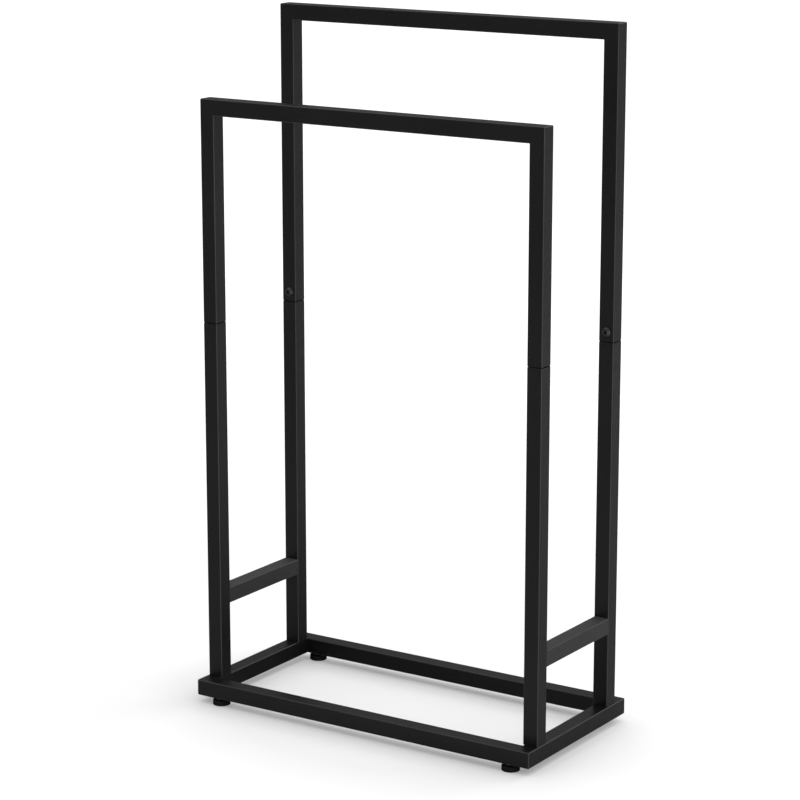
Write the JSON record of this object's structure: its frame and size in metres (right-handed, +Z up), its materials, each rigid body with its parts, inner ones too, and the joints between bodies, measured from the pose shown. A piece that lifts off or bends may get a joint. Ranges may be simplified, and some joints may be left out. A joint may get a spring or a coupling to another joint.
{
  "type": "towel rack",
  "caption": "Free-standing towel rack in black square tube: low front bar, higher back bar, base ring and levelling feet.",
  "frame": {"origin": "centre of the rack's footprint, on the floor", "axes": "+Z up, +X to the right along the towel bars, front (the lower bar) towards -Y"},
  "size_m": [0.48, 0.233, 0.854],
  "materials": {
    "powder_coat": "satin black powder coat",
    "black_screw": "black oxide, slightly glossy",
    "zinc_steel": "bright zinc plate",
    "foot_plastic": "matte black moulded plastic"
  },
  "bodies": {
    "frame": {"base_front_bar": "powder_coat", "base_back_bar": "powder_coat", "base_left_bar": "powder_coat", "base_right_bar": "powder_coat", "front_left_lower_post": "powder_coat", "front_right_lower_post": "powder_coat", "back_left_lower_post": "powder_coat", "back_right_lower_post": "powder_coat", "left_side_rail": "powder_coat", "right_side_rail": "powder_coat", "front_left_upper_post": "powder_coat", "front_right_upper_post": "powder_coat", "front_towel_bar": "powder_coat", "back_left_upper_post": "powder_coat", "back_right_upper_post": "powder_coat", "back_towel_bar": "powder_coat", "front_left_connector": "powder_coat", "front_right_connector": "powder_coat", "back_left_connector": "powder_coat", "back_right_connector": "powder_coat", "connector_nuts": "zinc_steel", "joint_screws": "black_screw", "post_nut_plates": "zinc_steel", "base_bolts": "zinc_steel", "foot_inserts": "zinc_steel"},
    "front_left_pad": {"front_left_foot_pad": "foot_plastic"},
    "front_left_stud": {"front_left_foot_stud": "zinc_steel"},
    "front_right_pad": {"front_right_foot_pad": "foot_plastic"},
    "front_right_stud": {"front_right_foot_stud": "zinc_steel"},
    "back_left_pad": {"back_left_foot_pad": "foot_plastic"},
    "back_left_stud": {"back_left_foot_stud": "zinc_steel"},
    "back_right_pad": {"back_right_foot_pad": "foot_plastic"},
    "back_right_stud": {"back_right_foot_stud": "zinc_steel"}
  },
  "joints": [
    {"name": "front_left_foot_height", "type": "slide", "parent": "frame", "child": "front_left_pad", "axis": [0, 0, -1], "range_m": [0, 0.0075]},
    {"name": "front_left_foot_turn", "type": "hinge", "parent": "front_left_pad", "child": "front_left_stud", "pos_m": [-0.21, -0.1055, 0], "axis": [0, 0, -1], "range_deg": [0, 2160]},
    {"name": "front_right_foot_height", "type": "slide", "parent": "frame", "child": "front_right_pad", "axis": [0, 0, -1], "range_m": [0, 0.0075]},
    {"name": "front_right_foot_turn", "type": "hinge", "parent": "front_right_pad", "child": "front_right_stud", "pos_m": [0.21, -0.1055, 0], "axis": [0, 0, -1], "range_deg": [0, 2160]},
    {"name": "back_left_foot_height", "type": "slide", "parent": "frame", "child": "back_left_pad", "axis": [0, 0, -1], "range_m": [0, 0.0075]},
    {"name": "back_left_foot_turn", "type": "hinge", "parent": "back_left_pad", "child": "back_left_stud", "pos_m": [-0.21, 0.1055, 0], "axis": [0, 0, -1], "range_deg": [0, 2160]},
    {"name": "back_right_foot_height", "type": "slide", "parent": "frame", "child": "back_right_pad", "axis": [0, 0, -1], "range_m": [0, 0.0075]},
    {"name": "back_right_foot_turn", "type": "hinge", "parent": "back_right_pad", "child": "back_right_stud", "pos_m": [0.21, 0.1055, 0], "axis": [0, 0, -1], "range_deg": [0, 2160]}
  ],
  "couplings": [
    {"joint": "front_left_foot_height", "follows": "front_left_foot_turn", "m_per_rad": 0.00019894},
    {"joint": "front_right_foot_height", "follows": "front_right_foot_turn", "m_per_rad": 0.00019894},
    {"joint": "back_left_foot_height", "follows": "back_left_foot_turn", "m_per_rad": 0.00019894},
    {"joint": "back_right_foot_height", "follows": "back_right_foot_turn", "m_per_rad": 0.00019894}
  ]
}
